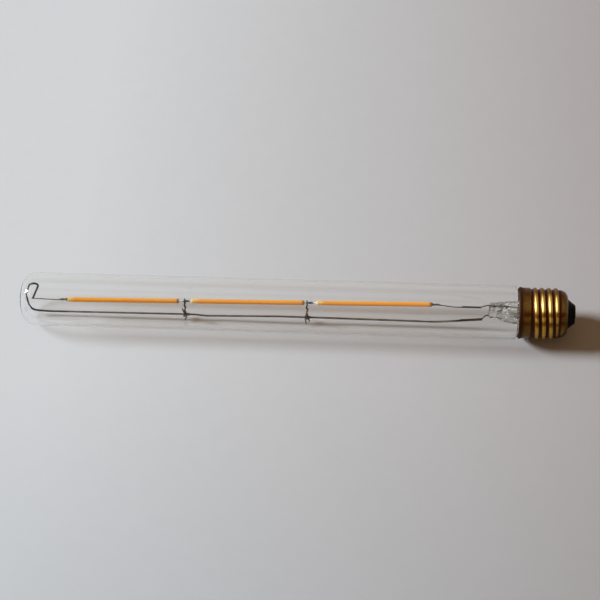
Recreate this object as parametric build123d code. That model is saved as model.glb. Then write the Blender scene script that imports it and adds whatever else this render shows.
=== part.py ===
from build123d import *
from math import asin, atan2, cos, degrees, hypot, pi, radians, sin, sqrt
import os

# Tubular lamp with three light-emitting filaments in series and a screw cap, lying on a table.
# The parts are drawn on the lamp's own axis, X, with the tip of the dome at X = 0 and the
# centre contact at X = overall_length, and are laid down at the end: origin on the table under
# the middle of the lamp, +X towards the cap, +Z up.

# Glass envelope
overall_length = 296.0
tube_d = 28.5
glass_wall = 0.9
crown_r = 25.0              # shallow end of the dome, outside
knuckle_r = 7.5             # turn from dome to tube, outside
shoulder_length = 2.8       # where the tube draws in, in front of the cap
neck_length = 4.2           # neck inside the cap

# Screw cap
cap_length = 29.4           # rim to centre contact
thread_major_d = 26.4
thread_depth = 1.1
thread_pitch = 3.629
thread_phase = 128.0        # degrees round the axis of the crest at first_crest
first_crest = 8.75          # rim to the first crest, on that side
sheet = 0.35                # brass sheet
rim_flare = 0.3             # the rim stands out from the collar by this
rim_lip = 1.0               # length of the flared rim
collar_step = 0.2           # the collar is this much under the thread's crests
collar_length = 5.6
thread_length = 15.6        # collar to rounded shoulder
cap_shoulder_r = 3.6
cap_mouth = 0.8             # width of the lip round the insulator
thread_crest = 1.0          # width of a crest
thread_root = 0.6           # width of a groove at its bottom
thread_sink = 0.1           # the ridge is rooted this deep in the shell
crest_run = 2.2             # length over which a crest rises from the collar
crest_fade = 1.4            # length over which the last crest sinks into the shoulder

# Insulator, contact and cement
cement_gap = 0.45
cement_inset = 0.7
insulator_step = 0.4        # insulator's base inside the lip's outer edge
insulator_depth = 2.2       # insulator inside the lip, along the axis
contact_d = 9.4
contact_head = 0.4
contact_shank_d = 3.0
contact_reach = 1.6         # shank past the insulator, inside
contact_edge = 0.3          # insulator's end round the contact
seat_gap = 0.03             # between pieces that are pressed, fused or crimped together

# Glass stem
stem_d = 11.4
stem_wall = 0.9
stem_straight = 4.2         # seal of the neck to the slight bend of the tube
stem_tilt = 4.2             # degrees; the press sits above the axis
stem_tube = 5.9             # bend to press
press_blend = 4.0
press_length = 6.0
press_width = 12.8
press_thickness = 4.0
exhaust_d = 4.4
exhaust_wall = 0.8
exhaust_tail = 7.4          # past the bend of the stem, towards the cap

# Wires
wire_sides = 8
lead_d = 0.6
lead_spacing = 8.6
lead_kick = 1.0             # straight length out of the press
lead_drop = 4.0             # press to the start of the weld
link_d = 0.5
link_height = 3.3           # upper weld above the axis
weld_lap = 10.0
lower_weld_lap = 12.0
return_d = 1.0
return_gap = 3.1            # middle of the return wire to the glass under it
return_rise = 3.4           # its end by the press lies this much higher
return_ramp = 24.5
return_start = 10.0         # from the back of the crook to the straight run
return_wave = 0.75          # the run wanders up and down by this
crook_gap = 2.1             # middle of the wire to the dome, inside
crook_top_gap = 1.5         # middle of the wire to the tube, inside
crook_bend = 1.8
crook_reach = 4.9           # top of the crook, from above its end towards the cap
crook_lean = 1.2            # top of the crook, towards the back
crook_heel = 2.0            # lowest bend of the crook, from its back
crook_end = 6.8             # from the tip of the dome
crook_end_height = 0.4
tail_d = 0.5

# Filaments
filament_start = 25.8       # from the tip of the dome
filament_start_height = 0.1
filament_end_height = 4.8
lead_run = 30.0             # last filament to the press
joint_gap = 7.1
filament_d = 2.3
strip_width = 1.7
strip_thickness = 0.35
strip_bare = 0.6            # strip between a coat and the wire welded under it
strip_end = 0.8             # full width of a strip past its coat
tab_width = 0.8             # narrow tabs that the strips are welded by
strip_lap = 4.6             # overlap of two tabs at a joint
end_tab = 4.2               # free tab at both ends of the chain

# Ties
tie_d = 0.5
tie_shifts = (-0.3, -2.0)   # from the middle of the joint, along the chain
tie_lifts = (0.15, 0.7)     # return wire over its mean height at the ties
tie_flat = 5.0              # straight return wire on each side of a tie
tie_strands = 0.9           # between the two strands of a tie
tie_top = 0.8               # above the strip
tie_tail = 1.7              # tails, towards the front
tie_tail_drop = 2.0         # tails, below the return wire
tie_splay = 0.5
sleeve_d = 1.6
sleeve_length = 2.8

# Driver in the cap
board_thickness = 1.0
board_start = 5.6           # from the seal of the neck
board_end = 0.7             # short of the cap's shoulder
board_gap = 0.3
solder_gap = 0.1
pad_length = 2.0
capacitor_d = 6.3
capacitor_length = 7.6
capacitor_inset = 1.8
fuse_d = 2.2
fuse_length = 5.0
fuse_height = 7.8
fuse_inset = 3.0
fuse_pigtail_d = 0.5
bridge_size = (4.7, 6.5, 2.3)
bridge_height = 5.0
chip_size = (4.9, 3.9, 1.6)
chip_height = -4.5
shell_wire_d = 0.6
shell_wire_height = 8.2
component_round = 0.3

# Sizes that follow
tube_r = tube_d / 2
inner_r = tube_r - glass_wall
rim_x = overall_length - cap_length
seal_x = rim_x + neck_length
stem_x = seal_x - stem_straight
major_r = thread_major_d / 2
root_r = major_r - thread_depth
collar_r = major_r - collar_step
collar_bore_r = collar_r - sheet
neck_r = collar_bore_r - cement_gap
thread_bore_r = root_r - sheet
collar_x = rim_x + collar_length
shoulder_x = collar_x + thread_length
shell_end_x = shoulder_x + cap_shoulder_r
lip_r = root_r - cap_shoulder_r
mouth_r = lip_r - cap_mouth
stem_r = stem_d / 2
press_reach = stem_tube + press_blend + press_length
half_leads = lead_spacing / 2
return_z = return_gap - inner_r


def turned(*edges):
    """A solid turned about the lamp's axis from an outline of radius (Y) along X."""
    return revolve(make_face(edges), Axis.X)


def turned_outline(*points):
    return turned(Polyline(*points, close=True))


def wire_along(path, diameter):
    """A wire along a path, eight-sided to keep its facets few, with mitred corners."""
    section = Plane(path @ 0, z_dir=path % 0) * RegularPolygon(diameter / 2, wire_sides)
    return sweep(section, path=path, transition=Transition.RIGHT)


def wire(points, diameter):
    return wire_along(Polyline(*points), diameter)


# Glass envelope: drawn tube, blown dome, neck drawn in to enter the cap
def envelope_outline(inset):
    """One side of the glass, from the axis at the dome to the end of the neck."""
    turn = asin((tube_r - knuckle_r) / (crown_r - knuckle_r))
    depth = crown_r - (crown_r - knuckle_r) * cos(turn)
    crown, knuckle = crown_r - inset, knuckle_r - inset

    def on_crown(angle):
        return crown_r - crown * cos(angle), crown * sin(angle)

    def on_knuckle(angle):
        return depth - knuckle * cos(angle), tube_r - knuckle_r + knuckle * sin(angle)

    quarter = radians(90)
    draw_in = (rim_x - shoulder_length, tube_r - inset)
    neck = (rim_x, neck_r - inset)
    return [
        ThreePointArc(on_crown(0), on_crown(turn / 2), on_crown(turn)),
        ThreePointArc(on_knuckle(turn), on_knuckle((turn + quarter) / 2), on_knuckle(quarter)),
        Line(on_knuckle(quarter), draw_in),
        Polyline(draw_in, neck, (seal_x, neck_r - inset)),
    ]


def glass_envelope():
    return turned(
        *envelope_outline(0),
        Line((seal_x, neck_r), (seal_x, neck_r - glass_wall)),
        *envelope_outline(glass_wall),
        Line((glass_wall, 0), (0, 0)),
    )


# Glass stem: flare sealed to the end of the neck, tube, and flat press round the lead wires
stem_place = Pos(stem_x, 0, 0) * Rot(0, stem_tilt, 0)


def stem_point(x, z):
    """A point in the middle plane of the tilted stem, measured from its bend."""
    tilt = radians(stem_tilt)
    return Vector(stem_x + x * cos(tilt) + z * sin(tilt), 0, z * cos(tilt) - x * sin(tilt))


def rod(start, end, diameter):
    """A round rod along X."""
    return Pos(start, 0, 0) * extrude(Plane.YZ * Circle(diameter / 2), end - start)


def glass_stem():
    bore_r = stem_r - stem_wall
    back_x = seal_x + stem_wall
    flare = turned_outline((seal_x, bore_r), (seal_x, neck_r), (back_x, neck_r), (back_x, bore_r))
    axis = Polyline((seal_x, 0, 0), (stem_x, 0, 0), stem_point(-stem_tube, 0))
    ring = Circle(stem_r) - Circle(bore_r)
    tube = sweep(Plane(axis @ 0, z_dir=axis % 0) * ring, path=axis, transition=Transition.RIGHT)
    return flare + tube + stem_place * stem_press()


def stem_press():
    """Hot end of the stem, pinched flat between two jaws, with the lead wires' channels."""
    blend_x = -stem_tube - press_blend
    half = press_thickness / 2
    blank = turned_outline(
        (-press_reach, 0),
        (-press_reach, press_width / 2),
        (blend_x, press_width / 2),
        (-stem_tube, stem_r),
        (-stem_tube, 0),
    )
    side = [(-press_reach, half), (blend_x, half), (-stem_tube, stem_r + stem_wall)]
    other_side = [(x, -y) for x, y in reversed(side)]
    press = blank & extrude(make_face(Polyline(*side, *other_side, close=True)), press_width, both=True)
    for z in (half_leads, -half_leads):
        press -= wire([(-press_reach, 0, z), (-stem_tube, 0, z)], lead_d + 2 * seat_gap)
    return press


def exhaust_tube():
    """Thin tube through which the lamp was filled, melted shut at its outer end."""
    outer = exhaust_d / 2
    inner = outer - exhaust_wall
    tip = exhaust_tail - exhaust_wall
    return stem_place * turned_outline(
        (-stem_tube, inner),
        (-stem_tube, outer),
        (exhaust_tail, outer),
        (exhaust_tail, 0),
        (tip, 0),
        (tip, inner),
    )


# Filament chain: three coated strips in line, climbing gently from the dome to the press
press_tip = stem_point(-press_reach, 0)
chain_end_x = press_tip.X - lead_run
chain_length = hypot(chain_end_x - filament_start, filament_end_height - filament_start_height)
chain_angle = atan2(filament_end_height - filament_start_height, chain_end_x - filament_start)
filament_length = (chain_length - 2 * joint_gap) / 3
filament_pitch = filament_length + joint_gap
chain_place = Pos(filament_start, 0, filament_start_height) * Rot(0, -degrees(chain_angle), 0)


def chain_point(along, above=0.0):
    """A point in the middle plane, measured along the chain and square to it."""
    x = filament_start + along * cos(chain_angle) - above * sin(chain_angle)
    return Vector(x, 0, filament_start_height + along * sin(chain_angle) + above * cos(chain_angle))


def strip_level(number):
    """Strips lie one on the other at a joint, so every second one is a thickness lower."""
    return strip_thickness / 2 if number % 2 == 0 else -strip_thickness / 2


def filament_strip(number):
    lap = (joint_gap + strip_lap) / 2
    before = end_tab if number == 0 else lap
    after = end_tab if number == 2 else lap
    from_left = (Align.MIN, Align.CENTER, Align.CENTER)
    core = Box(filament_length + 2 * strip_end, strip_width, strip_thickness, align=from_left)
    tabs = Box(before + filament_length + after, tab_width, strip_thickness, align=from_left)
    strip = Pos(-strip_end, 0, 0) * core + Pos(-before, 0, 0) * tabs
    return chain_place * Pos(number * filament_pitch, 0, strip_level(number)) * strip


def filament_coat(number):
    coat = rod(0, filament_length, filament_d)
    slot = Box(3 * filament_length, strip_width, strip_thickness)
    coat -= Pos(0, 0, strip_level(number)) * slot
    return chain_place * Pos(number * filament_pitch, 0, 0) * coat


# Return wire: heavy wire along the bottom of the tube, bent up into a crook behind the dome
tie_spots = [
    (number + 1) * filament_pitch - joint_gap / 2 + shift for number, shift in enumerate(tie_shifts)
]
tie_x = [chain_point(spot).X for spot in tie_spots]
tie_wire_z = [return_z + lift for lift in tie_lifts]
weld_end = Vector(press_tip.X - lead_drop + lead_kick, 0, return_z + return_rise)
weld_way = Vector(return_ramp, 0, return_rise).normalized()
crook_x = glass_wall + crook_gap
crook_top = inner_r - crook_top_gap


def return_wire():
    low = return_z - return_wave
    run = [
        (crook_x + return_start, 0, low),
        (tie_x[0] - tie_flat, 0, tie_wire_z[0]),
        (tie_x[0] + tie_flat, 0, tie_wire_z[0]),
        (tie_x[0] + 2 * tie_flat, 0, low),
        (tie_x[1] - 3 * tie_flat, 0, return_z + return_wave),
        (tie_x[1] - tie_flat, 0, tie_wire_z[1]),
        (tie_x[1] + tie_flat, 0, tie_wire_z[1]),
        (weld_end.X - return_ramp, 0, return_z),
        weld_end,
    ]
    crook = FilletPolyline(
        (crook_end, 0, crook_end_height),
        (crook_end + crook_reach, crook_lean, crook_top),
        (crook_end, crook_lean, crook_top),
        (crook_x, crook_lean / 4, crook_top / 4),
        (crook_x, 0, return_z / 2),
        (crook_x + crook_heel, 0, return_z),
        run[0],
        radius=[crook_bend, crook_bend, 3 * crook_bend, 3 * crook_bend, 2 * crook_bend],
    )
    return wire_along(Wire(crook.edges() + Polyline(*run).edges()), return_d)


def tail_wire():
    """Thin wire from the end of the crook to the strip of the first filament."""
    front = -(return_d + tail_d) / 2 - seat_gap
    under = strip_level(0) - (strip_thickness + tail_d) / 2 - seat_gap
    return wire(
        [
            (crook_end - return_d / 2, front, crook_end_height),
            (crook_end + return_d, front, crook_end_height),
            chain_point(-end_tab - 2 * return_d, under),
            chain_point(-strip_bare, under),
        ],
        tail_d,
    )


# Ties: soft wire hung over the strips at each joint, with a strand on each side of the return wire
def insulating_sleeve(number):
    """Short bead on the return wire that keeps a tie clear of it."""
    half = sleeve_length / 2
    bore_d = (return_d + 2 * seat_gap) / cos(pi / wire_sides)
    sleeve = wire([(-half, 0, 0), (half, 0, 0)], sleeve_d)
    sleeve -= wire([(-sleeve_length, 0, 0), (sleeve_length, 0, 0)], bore_d)
    return Pos(tie_x[number], 0, tie_wire_z[number]) * sleeve


def tie_wire(number):
    half = tie_strands / 2
    side_tab = (tab_width + tie_d) / 2 + seat_gap
    side_sleeve = (sleeve_d + tie_d) / 2 + seat_gap
    wire_z = tie_wire_z[number]
    top_z = chain_point(tie_spots[number], strip_thickness + tie_top).Z
    under_z = wire_z - side_sleeve
    tail_z = wire_z - tie_tail_drop
    front = [
        (-half - tie_splay, -side_sleeve - tie_tail, tail_z),
        (-half, -side_sleeve, wire_z - sleeve_d / 4),
        (-half, -side_tab, top_z),
    ]
    back = [
        (half, side_tab, top_z),
        (half, side_sleeve, under_z),
        (half, -tie_d, under_z),
        (half + tie_splay, -side_sleeve - tie_tail, tail_z),
    ]
    return Pos(tie_x[number], 0, 0) * wire(front + back, tie_d)


# Lead wires: from the driver, through the stem and the press, to the welds
board_x = seal_x + board_start
pad_x = board_x + pad_length


def upper_lead_wire():
    weld_z = link_height + (lead_d + link_d) / 2 + seat_gap
    weld_x = press_tip.X - lead_drop
    return wire(
        [
            (pad_x, 0, half_leads),
            stem_point(stem_straight / 2, half_leads),
            stem_point(-press_reach - lead_kick, half_leads),
            (weld_x, 0, weld_z),
            (weld_x - weld_lap, 0, weld_z),
        ],
        lead_d,
    )


def lower_lead_wire():
    beside = Vector(-weld_way.Z, 0, weld_way.X) * ((return_d + lead_d) / 2 + seat_gap)
    return wire(
        [
            (pad_x, 0, -half_leads),
            stem_point(stem_straight / 2, -half_leads),
            stem_point(-press_reach - lead_kick, -half_leads),
            weld_end + beside - weld_way * lead_d,
            weld_end + beside - weld_way * lower_weld_lap,
        ],
        lead_d,
    )


def link_wire():
    """Thin wire from the strip of the last filament to the upper lead."""
    under = strip_level(2) - (strip_thickness + link_d) / 2 - seat_gap
    weld_x = press_tip.X - lead_drop
    return wire(
        [
            chain_point(chain_length + strip_bare, under),
            chain_point(chain_length + end_tab, under),
            (weld_x - weld_lap - lead_drop, 0, link_height),
            (weld_x, 0, link_height),
        ],
        link_d,
    )


# Cap: drawn brass sheet with a rolled thread
def cap_thread():
    """One ridge along a right-hand helix, rising beside the collar and fading into the shoulder."""
    start_x = rim_x + first_crest - thread_pitch / 2
    helix = Helix(thread_pitch, shoulder_x - start_x, root_r)
    half_crest = thread_crest / 2
    half_base = (thread_pitch - thread_root) / 2
    section = make_face(Polyline(
        (-thread_sink, -half_base),
        (thread_depth, -half_crest),
        (thread_depth, half_crest),
        (-thread_sink, half_base),
        close=True,
    ))
    section = Plane(helix @ 0, x_dir=(1, 0, 0), z_dir=helix % 0) * section
    ridge = sweep(section, path=helix, is_frenet=True)
    ridge = Pos(start_x, 0, 0) * Rot(thread_phase - 90, 0, 0) * Rot(0, 90, 0) * ridge
    over = major_r + thread_sink
    barrel = turned_outline(
        (collar_x, 0),
        (collar_x, root_r),
        (collar_x + crest_run, over),
        (shoulder_x - crest_fade, over),
        (shoulder_x, root_r - thread_sink),
        (shoulder_x, 0),
    )
    return ridge & barrel


def shell_outline(inset, shoulder_steps):
    """One side of the brass sheet from the collar over the thread's roots to the lip."""
    bend = cap_shoulder_r - inset
    turns = [radians(90 * step / shoulder_steps) for step in range(shoulder_steps + 1)]
    return [
        (collar_x - inset, collar_r - inset),
        (collar_x - inset, root_r - inset),
        *[(shoulder_x + bend * sin(turn), lip_r + bend * cos(turn)) for turn in turns],
    ]


def cap_shell():
    rim_r = collar_r + rim_flare
    core = turned_outline(
        (rim_x, 0),
        (rim_x, rim_r),
        (rim_x + rim_lip, rim_r),
        (rim_x + rim_lip, collar_r),
        *shell_outline(0, 3),
        (shell_end_x, 0),
    )
    bore = turned_outline(
        (rim_x, 0),
        (rim_x, collar_bore_r),
        *shell_outline(sheet, 1),
        (shell_end_x - sheet, mouth_r),
        (shell_end_x, mouth_r),
        (shell_end_x, 0),
    )
    return core + cap_thread() - bore


def cap_cement():
    return turned_outline(
        (rim_x + cement_inset, neck_r + seat_gap),
        (rim_x + cement_inset, collar_bore_r - seat_gap),
        (seal_x, collar_bore_r - seat_gap),
        (seal_x, neck_r + seat_gap),
    )


insulator_in_x = shell_end_x - sheet - insulator_depth
contact_x = overall_length - contact_head


def cap_insulator():
    """Black glass cast into the mouth of the shell, tapering to the centre contact."""
    plug_r = mouth_r - seat_gap
    shank_r = contact_shank_d / 2 + seat_gap
    return turned_outline(
        (insulator_in_x, shank_r),
        (insulator_in_x, plug_r),
        (shell_end_x + seat_gap, plug_r),
        (shell_end_x + seat_gap, lip_r - insulator_step),
        (contact_x, contact_d / 2 + contact_edge),
        (contact_x, shank_r),
    )


def contact_pin():
    """Centre contact: a flat head with a shank pressed through the insulator."""
    head = chamfer(rod(contact_x, overall_length, contact_d).edges().sort_by(Axis.X)[-1], contact_head / 2)
    return head + rod(insulator_in_x - contact_reach, contact_x, contact_shank_d)


# Driver: small board along the cap's axis, with its parts soldered on
board_y = lead_d / 2 + solder_gap
board_stop_x = shoulder_x - board_end
board_back_y = board_y + board_thickness


def driver_board():
    half_width = sqrt(thread_bore_r ** 2 - board_back_y ** 2) - board_gap
    size = (board_stop_x - board_x, board_thickness, 2 * half_width)
    board = Pos(board_x, board_y, 0) * Box(*size, align=(Align.MIN, Align.MIN, Align.CENTER))
    return fillet(board.edges().filter_by(Axis.Y), component_round)


def block_on_board(size, height):
    """A moulded component on the back of the board: size along the axis, up, and off the board."""
    along, up, off = size
    middle_x = (board_x + board_stop_x) / 2
    block = Box(along, off, up, align=(Align.CENTER, Align.MIN, Align.CENTER))
    block = chamfer(block.faces().sort_by(Axis.Y)[-1].edges(), component_round)
    return Pos(middle_x, board_back_y + solder_gap, height) * block


def capacitor():
    can = rod(0, capacitor_length, capacitor_d)
    can = chamfer(can.edges(), component_round)
    return Pos(board_x + capacitor_inset, board_y - solder_gap - capacitor_d / 2, 0) * can


def fuse_resistor():
    """Fusible resistor: body beside the board, one pigtail to the board, one to the contact pin."""
    body_y = board_y - solder_gap - fuse_d / 2
    start_x = board_x + fuse_inset
    end_x = start_x + fuse_length
    body = Pos(0, body_y, fuse_height) * rod(start_x, end_x, fuse_d)
    bend = fuse_pigtail_d
    foot_x = start_x - 2 * bend
    to_board = wire(
        [
            (start_x + bend, body_y, fuse_height),
            (foot_x, body_y, fuse_height),
            (foot_x, board_y - solder_gap, fuse_height),
        ],
        fuse_pigtail_d,
    )
    pin_x = insulator_in_x - contact_reach / 2
    pin_z = (contact_shank_d + fuse_pigtail_d) / 2 + seat_gap
    to_pin = wire(
        [
            (end_x - bend, body_y, fuse_height),
            (end_x + 2 * bend, body_y, fuse_height),
            (pin_x, 0, pin_z + 2 * bend),
            (pin_x, 0, pin_z - fuse_pigtail_d / 2),
        ],
        fuse_pigtail_d,
    )
    return body + to_board + to_pin


def shell_wire():
    """Wire from the board to the inside of the brass shell."""
    front_y = board_y - solder_gap - shell_wire_d / 2
    reach = sqrt(thread_bore_r ** 2 - (abs(front_y) + shell_wire_d / 2) ** 2) - seat_gap
    start_x = board_x + 2 * pad_length
    turn_x = start_x + 2 * pad_length
    return wire(
        [
            (start_x, front_y, -shell_wire_height),
            (turn_x, front_y, -shell_wire_height),
            (turn_x, front_y, -reach),
        ],
        shell_wire_d,
    )


nodes = {
    "glass_envelope": glass_envelope(),
    "glass_stem": glass_stem(),
    "exhaust_tube": exhaust_tube(),
    "upper_lead_wire": upper_lead_wire(),
    "lower_lead_wire": lower_lead_wire(),
    "link_wire": link_wire(),
    "return_wire": return_wire(),
    "tail_wire": tail_wire(),
    "cap_shell": cap_shell(),
    "cap_cement": cap_cement(),
    "cap_insulator": cap_insulator(),
    "contact_pin": contact_pin(),
    "driver_board": driver_board(),
    "bridge_rectifier": block_on_board(bridge_size, bridge_height),
    "driver_chip": block_on_board(chip_size, chip_height),
    "capacitor": capacitor(),
    "fuse_resistor": fuse_resistor(),
    "shell_wire": shell_wire(),
}
for number in range(3):
    nodes[f"filament_strip_{number + 1}"] = filament_strip(number)
    nodes[f"filament_coat_{number + 1}"] = filament_coat(number)
for number in range(len(tie_shifts)):
    nodes[f"tie_wire_{number + 1}"] = tie_wire(number)
    nodes[f"insulating_sleeve_{number + 1}"] = insulating_sleeve(number)

lay_down = Pos(-overall_length / 2, 0, tube_r)
os.makedirs("parts", exist_ok=True)
for name, solid in nodes.items():
    export_step(lay_down * solid, f"parts/{name}.step")
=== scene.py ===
from math import asin, atan2, copysign, cos, pi, radians, sin, sqrt, tan, tau

import bmesh
import bpy
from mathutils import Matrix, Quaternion, Vector, noise


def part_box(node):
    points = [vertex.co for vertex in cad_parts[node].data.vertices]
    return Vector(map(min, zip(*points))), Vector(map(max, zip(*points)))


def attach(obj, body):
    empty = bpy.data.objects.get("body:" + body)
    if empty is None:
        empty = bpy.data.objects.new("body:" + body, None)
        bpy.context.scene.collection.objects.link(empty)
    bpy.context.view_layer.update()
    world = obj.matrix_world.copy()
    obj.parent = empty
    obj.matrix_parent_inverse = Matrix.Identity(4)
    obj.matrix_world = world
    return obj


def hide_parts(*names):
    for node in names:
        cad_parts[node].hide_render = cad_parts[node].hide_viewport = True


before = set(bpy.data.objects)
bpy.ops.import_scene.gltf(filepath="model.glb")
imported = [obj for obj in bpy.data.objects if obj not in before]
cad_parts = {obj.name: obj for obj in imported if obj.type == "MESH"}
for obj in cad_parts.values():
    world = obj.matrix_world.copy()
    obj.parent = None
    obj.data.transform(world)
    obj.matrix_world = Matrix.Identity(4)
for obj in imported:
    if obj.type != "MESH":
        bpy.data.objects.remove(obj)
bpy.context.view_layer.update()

# Glass stem
# Clear glass: a short tube, flared out to the neck at one end and pinched flat while soft at the other,
# into a solid press round the two leads. The flare is melted into the lamp's neck, a little askew.
mm = 0.001
glass_low, glass_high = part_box("glass_envelope")
tip_x = glass_low.x
axis_z = (glass_low.z + glass_high.z) / 2
stem_sides = 96
stem_bend = 266.6
stem_bend_soft = 2.0
stem_tilt = radians(4.2)
press_tip = 250.72
hollow_tip = 257.85
skin_steps = 4
hollow_steps = 3
dents_from = 250.0
dents_to = 266.0
dent_depth = 0.72
dent_pitch = 1.6
dent_seed = 1
sharp_angle = 50
# Each section is mm along from the dome's tip, half height, half width and squareness of its corners.
stem_skin = [
    (270.75, 11.2, 11.2, 2.0),
    (270.2, 10.9, 10.9, 2.0),
    (269.4, 9.6, 9.6, 2.0),
    (268.4, 8.0, 8.0, 2.0),
    (267.2, 6.75, 6.75, 2.0),
    (265.8, 6.0, 6.0, 2.0),
    (264.2, 5.72, 5.72, 2.0),
    (262.4, 5.7, 5.7, 2.0),
    (260.9, 5.75, 5.5, 2.0),
    (259.6, 5.95, 4.7, 2.2),
    (258.4, 6.2, 3.5, 2.6),
    (257.3, 6.4, 2.6, 3.0),
    (256.0, 6.42, 2.1, 3.2),
    (254.2, 6.4, 1.95, 3.2),
    (252.8, 6.2, 2.0, 3.0),
    (251.8, 5.7, 1.9, 2.7),
    (251.15, 4.9, 1.6, 2.4),
    (250.85, 3.6, 1.1, 2.2),
]
stem_hollow = [
    (258.0, 0.9, 0.5, 2.0),
    (258.5, 2.4, 1.6, 2.0),
    (259.4, 3.8, 3.0, 2.0),
    (260.8, 4.6, 4.4, 2.0),
    (262.4, 4.8, 4.8, 2.0),
    (264.4, 4.85, 4.85, 2.0),
    (266.2, 5.15, 5.15, 2.0),
    (267.6, 5.95, 5.95, 2.0),
    (268.8, 7.15, 7.15, 2.0),
    (269.8, 8.7, 8.7, 2.0),
    (270.75, 10.4, 10.4, 2.0),
]


def lamp_point(along, across, above):
    """Point so many mm from the dome's tip along the lamp, across it and above its axis."""
    return Vector((tip_x + along * mm, across * mm, axis_z + above * mm))


def stem_lift(along):
    """Height of the stem's own axis over the lamp's, because the stem leans."""
    run = stem_bend - along
    return tan(stem_tilt) * (run + sqrt(run * run + stem_bend_soft ** 2)) / 2


def oval(along, half_height, half_width, squareness, sides, lift=0.0):
    """Ring across the lamp: a circle, or an oval with squarer corners."""
    power = 2 / squareness
    ring = []
    for k in range(sides):
        c = cos(tau * k / sides)
        s = sin(tau * k / sides)
        across = half_width * copysign(abs(c) ** power, c)
        above = half_height * copysign(abs(s) ** power, s)
        ring.append(lamp_point(along, across, lift + above))
    return ring


def dented(ring, along):
    """Ring of the soft glass with the marks that the pinching jaws left on it."""
    share = (along - dents_from) / (dents_to - dents_from)
    depth = dent_depth * mm * sqrt(max(0.0, sin(pi * min(max(share, 0.0), 1.0))))
    return [p + depth * noise.noise_vector(p / mm / dent_pitch) for p in ring]


def softened(sections, steps):
    """Sections with more between them on a smooth curve, so that blown glass has no facets."""
    ends = [sections[0]] + sections + [sections[-1]]
    finer = []
    for a, b, c, d in zip(ends, ends[1:], ends[2:], ends[3:]):
        for k in range(steps):
            t = k / steps
            weights = (
                (-t + 2 * t ** 2 - t ** 3) / 2,
                (2 - 5 * t ** 2 + 3 * t ** 3) / 2,
                (t + 4 * t ** 2 - 3 * t ** 3) / 2,
                (t ** 3 - t ** 2) / 2,
            )
            finer.append(tuple(sum(w * p for w, p in zip(weights, q)) for q in zip(a, b, c, d)))
    return finer + [sections[-1]]


def show(piece):
    bpy.context.scene.collection.objects.link(piece)
    return piece


def skinned(name, finish, rings, looped=False, sharp=sharp_angle):
    """Smooth closed skin over rings of points, where a ring of one point is a pole."""
    bm = bmesh.new()
    rows = [[bm.verts.new(point) for point in ring] for ring in rings]
    if looped:
        rows.append(rows[0])
    for first, second in zip(rows, rows[1:]):
        for k in range(max(len(first), len(second))):
            corners = [
                first[k % len(first)],
                first[(k + 1) % len(first)],
                second[(k + 1) % len(second)],
                second[k % len(second)],
            ]
            bm.faces.new(dict.fromkeys(corners))
    bmesh.ops.recalc_face_normals(bm, faces=bm.faces)
    mesh = bpy.data.meshes.new(name)
    bm.to_mesh(mesh)
    bm.free()
    mesh.polygons.foreach_set("use_smooth", [True] * len(mesh.polygons))
    mesh.set_sharp_from_angle(angle=radians(sharp))
    mesh.materials.append(finish)
    return show(bpy.data.objects.new(name, mesh))


def feed(tree, node, inputs):
    """Gives a node's inputs a value, a colour without its opacity, or another node's output."""
    for key, value in inputs.items():
        socket = node.inputs[key]
        if isinstance(value, bpy.types.NodeSocket):
            tree.links.new(value, socket)
        else:
            socket.default_value = (*value, 1.0) if socket.type == "RGBA" else value
    return node


def add_node(tree, kind, inputs, **settings):
    """Adds a node to a tree."""
    node = tree.nodes.new(kind)
    for name, value in settings.items():
        setattr(node, name, value)
    return feed(tree, node, inputs)


def add(tree, kind, inputs, **settings):
    """Adds a node to a tree and gives its first output."""
    return add_node(tree, kind, inputs, **settings).outputs[0]


def maths(tree, operation, *terms):
    return add(tree, "ShaderNodeMath", dict(enumerate(terms)), operation=operation)


def blended(tree, share, first, second, **settings):
    """Colour between two colours, by a share from 0 to 1."""
    inputs = {0: share, 6: first, 7: second}
    return add_node(tree, "ShaderNodeMix", inputs, data_type="RGBA", **settings).outputs[2]


def bumped(tree, height, strength, distance):
    """Normal of a surface with a fine relief."""
    return add(tree, "ShaderNodeBump", {"Strength": strength, "Distance": distance, "Height": height})


def new_finish(name):
    """New material with its tree and its one surface shader."""
    material = bpy.data.materials.new(name)
    material.use_nodes = True
    tree = material.node_tree
    return material, tree, tree.nodes["Principled BSDF"]


def new_tree(name, kind, inputs, outputs):
    """New group of nodes with sockets named by kind; gives the tree, what goes in and its end node."""
    tree = bpy.data.node_groups.new(name, kind)
    for way, sockets in (("INPUT", inputs), ("OUTPUT", outputs)):
        for socket, labels in sockets.items():
            for label in labels:
                tree.interface.new_socket(label, in_out=way, socket_type="NodeSocket" + socket)
    return tree, tree.nodes.new("NodeGroupInput").outputs, tree.nodes.new("NodeGroupOutput")


def use_effect(tree, effect, values):
    """Places a shader group in a material with the material's own values."""
    return add_node(tree, "ShaderNodeGroup", values, node_tree=effect).outputs


glass_flow, flow_in, flow_end = new_tree(
    "glass_flow",
    "ShaderNodeTree",
    {"Float": ["Along", "Across"], "Color": ["Clear", "Thick"]},
    {"Color": ["Tint"], "Float": ["Height"]},
)
flow_place = add_node(glass_flow, "ShaderNodeTexCoord", {}).outputs["Object"]
flow_size = add(
    glass_flow,
    "ShaderNodeCombineXYZ",
    {"X": flow_in["Along"], "Y": flow_in["Across"], "Z": flow_in["Across"]},
)
flow_grid = add(glass_flow, "ShaderNodeVectorMath", {0: flow_place, 1: flow_size}, operation="MULTIPLY")
flow_wave = add(
    glass_flow, "ShaderNodeTexNoise", {"Vector": flow_grid, "Scale": 1.0, "Detail": 1.5, "Roughness": 0.4}
)
flow_tint = blended(glass_flow, flow_wave, flow_in["Clear"], flow_in["Thick"])
feed(glass_flow, flow_end, {"Tint": flow_tint, "Height": flow_wave})
ripple_height = 0.2 * mm
light_face_on = (0.988, 0.987, 0.985)
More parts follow.
